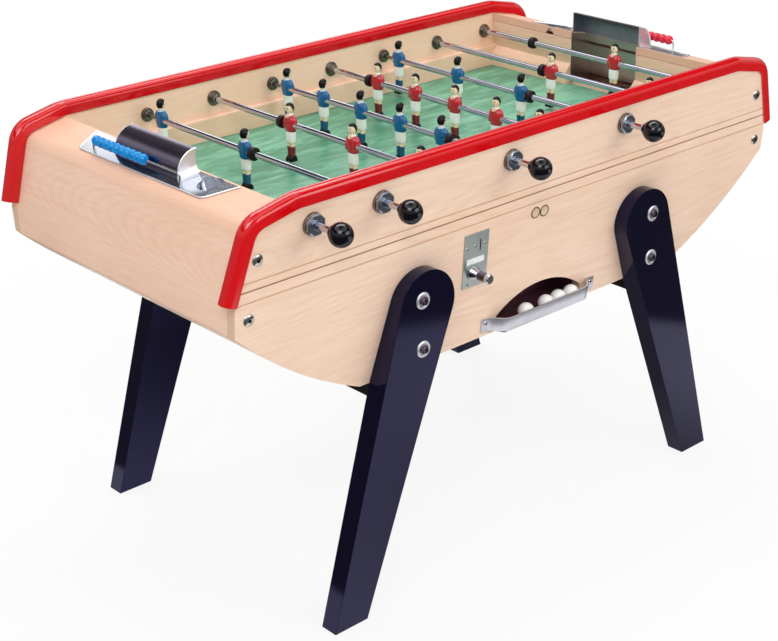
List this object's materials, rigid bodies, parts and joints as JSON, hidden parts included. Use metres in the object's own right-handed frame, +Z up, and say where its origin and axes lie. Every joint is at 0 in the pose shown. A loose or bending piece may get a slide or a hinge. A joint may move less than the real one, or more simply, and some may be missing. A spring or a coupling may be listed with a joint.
{
  "type": "table football game",
  "caption": "Coin-operated table football with leaning ply sides, telescopic player rods, goal hoods, score beads, ball tray and splayed legs.",
  "frame": {"origin": "on the floor, under the centre of the cabinet", "axes": "+X along the cabinet, left to right seen from the side with the coin plate; that near side is at -Y; +Z up"},
  "size_m": [1.5286, 0.95, 0.9245],
  "materials": {
    "ply": "clear satin lacquer on pale beech ply",
    "ply_edge": "clear satin lacquer on ply",
    "field_green": "green laminate with a light sheen",
    "strip_wood": "clear satin lacquer on beech",
    "rail_red": "glossy red",
    "leg_black": "black lacquer on beech",
    "bolt_steel": "bright",
    "screw_chrome": "polished",
    "hood_steel": "dark polished sheet",
    "tray_steel": "polished sheet",
    "channel_wood": "dark stained board",
    "wire_chrome": "polished",
    "bead_blue": "clear blue plastic",
    "bead_red": "clear red plastic",
    "bearing_chrome": "polished",
    "guide_steel": "bright ground steel",
    "plate_steel": "brushed",
    "handle_chrome": "polished",
    "gate_steel": "plain",
    "guard_aluminium": "satin",
    "ball_white": "smooth white",
    "tube_chrome": "polished steel tube",
    "player_blue": "glossy paint, blue shirt and white shorts",
    "player_red": "glossy paint, red shirt and white shorts",
    "bumper_rubber": "black rubber",
    "grip_black": "glossy black"
  },
  "bodies": {
    "cabinet": {"side_board_near": "ply", "side_board_far": "ply", "end_panels": "ply", "goal_walls": "ply_edge", "playfield": "field_green", "field_strips": "strip_wood", "belly_panel": "ply", "rails": "rail_red", "leg_near_left": "leg_black", "leg_near_right": "leg_black", "leg_far_left": "leg_black", "leg_far_right": "leg_black", "crossbeams": "leg_black", "leg_bolts": "bolt_steel", "board_screws": "screw_chrome", "goal_hoods": "hood_steel", "end_trays": "tray_steel", "ball_return": "channel_wood", "score_wires": "wire_chrome", "rod_bushings": "bearing_chrome", "guide_rods": "guide_steel", "coin_plate": "plate_steel", "ball_guard": "guard_aluminium"},
    "coin_handle": {"coin_handle": "handle_chrome"},
    "ball_gate": {"ball_gate": "gate_steel"},
    "balls": {"balls": "ball_white"},
    "beads_left": {"score_beads_left": "bead_blue"},
    "beads_right": {"score_beads_right": "bead_red"},
    "rod_1_slider": {"rod_1_bumper": "bumper_rubber"},
    "rod_1": {"rod_1_tube": "tube_chrome", "rod_1_players": "player_blue", "rod_1_grip": "grip_black"},
    "rod_2_slider": {"rod_2_bumper": "bumper_rubber"},
    "rod_2": {"rod_2_tube": "tube_chrome", "rod_2_players": "player_blue", "rod_2_grip": "grip_black"},
    "rod_3_slider": {"rod_3_bumper": "bumper_rubber"},
    "rod_3": {"rod_3_tube": "tube_chrome", "rod_3_players": "player_red", "rod_3_grip": "grip_black"},
    "rod_4_slider": {"rod_4_bumper": "bumper_rubber"},
    "rod_4": {"rod_4_tube": "tube_chrome", "rod_4_players": "player_blue", "rod_4_grip": "grip_black"},
    "rod_5_slider": {"rod_5_bumper": "bumper_rubber"},
    "rod_5": {"rod_5_tube": "tube_chrome", "rod_5_players": "player_red", "rod_5_grip": "grip_black"},
    "rod_6_slider": {"rod_6_bumper": "bumper_rubber"},
    "rod_6": {"rod_6_tube": "tube_chrome", "rod_6_players": "player_blue", "rod_6_grip": "grip_black"},
    "rod_7_slider": {"rod_7_bumper": "bumper_rubber"},
    "rod_7": {"rod_7_tube": "tube_chrome", "rod_7_players": "player_red", "rod_7_grip": "grip_black"},
    "rod_8_slider": {"rod_8_bumper": "bumper_rubber"},
    "rod_8": {"rod_8_tube": "tube_chrome", "rod_8_players": "player_red", "rod_8_grip": "grip_black"}
  },
  "joints": [
    {"name": "rod_1_slide", "type": "slide", "parent": "cabinet", "child": "rod_1_slider", "axis": [0, -1, 0], "range_m": [-0.02, 0.142]},
    {"name": "rod_1_spin", "type": "hinge", "parent": "rod_1_slider", "child": "rod_1", "pos_m": [-0.5735, 0, 0.8432], "axis": [0, 1, 0], "continuous": true},
    {"name": "rod_2_slide", "type": "slide", "parent": "cabinet", "child": "rod_2_slider", "axis": [0, -1, 0], "range_m": [-0.02, 0.326]},
    {"name": "rod_2_spin", "type": "hinge", "parent": "rod_2_slider", "child": "rod_2", "pos_m": [-0.4143, 0, 0.8432], "axis": [0, 1, 0], "continuous": true},
    {"name": "rod_3_slide", "type": "slide", "parent": "cabinet", "child": "rod_3_slider", "axis": [0, 1, 0], "range_m": [-0.02, 0.212]},
    {"name": "rod_3_spin", "type": "hinge", "parent": "rod_3_slider", "child": "rod_3", "pos_m": [-0.2437, 0, 0.8432], "axis": [0, 1, 0], "continuous": true},
    {"name": "rod_4_slide", "type": "slide", "parent": "cabinet", "child": "rod_4_slider", "axis": [0, -1, 0], "range_m": [-0.02, 0.121]},
    {"name": "rod_4_spin", "type": "hinge", "parent": "rod_4_slider", "child": "rod_4", "pos_m": [-0.084, 0, 0.8432], "axis": [0, 1, 0], "continuous": true},
    {"name": "rod_5_slide", "type": "slide", "parent": "cabinet", "child": "rod_5_slider", "axis": [0, 1, 0], "range_m": [-0.02, 0.111]},
    {"name": "rod_5_spin", "type": "hinge", "parent": "rod_5_slider", "child": "rod_5", "pos_m": [0.084, 0, 0.8432], "axis": [0, 1, 0], "continuous": true},
    {"name": "rod_6_slide", "type": "slide", "parent": "cabinet", "child": "rod_6_slider", "axis": [0, -1, 0], "range_m": [-0.02, 0.218]},
    {"name": "rod_6_spin", "type": "hinge", "parent": "rod_6_slider", "child": "rod_6", "pos_m": [0.2437, 0, 0.8432], "axis": [0, 1, 0], "continuous": true},
    {"name": "rod_7_slide", "type": "slide", "parent": "cabinet", "child": "rod_7_slider", "axis": [0, 1, 0], "range_m": [-0.02, 0.322]},
    {"name": "rod_7_spin", "type": "hinge", "parent": "rod_7_slider", "child": "rod_7", "pos_m": [0.4143, 0, 0.8432], "axis": [0, 1, 0], "continuous": true},
    {"name": "rod_8_slide", "type": "slide", "parent": "cabinet", "child": "rod_8_slider", "axis": [0, 1, 0], "range_m": [-0.02, 0.142]},
    {"name": "rod_8_spin", "type": "hinge", "parent": "rod_8_slider", "child": "rod_8", "pos_m": [0.5735, 0, 0.8432], "axis": [0, 1, 0], "continuous": true},
    {"name": "coin_handle_pull", "type": "slide", "parent": "cabinet", "child": "coin_handle", "axis": [0, -1, 0], "range_m": [0, 0.03], "stiffness_N_per_m": 250},
    {"name": "ball_gate_swing", "type": "hinge", "parent": "cabinet", "child": "ball_gate", "pos_m": [-0.06, -0.25, 0.59], "axis": [1, 0, 0], "range_deg": [0, 36]},
    {"name": "beads_left_slide", "type": "slide", "parent": "cabinet", "child": "beads_left", "axis": [0, -1, 0], "range_m": [0, 0.095]},
    {"name": "beads_right_slide", "type": "slide", "parent": "cabinet", "child": "beads_right", "axis": [0, 1, 0], "range_m": [0, 0.095]},
    {"name": "balls_roll", "type": "slide", "parent": "cabinet", "child": "balls", "axis": [-1, 0, 0], "range_m": [0, 0.05]}
  ],
  "couplings": [
    {"joint": "ball_gate_swing", "follows": "coin_handle_pull", "rad_per_m": 20.36}
  ]
}
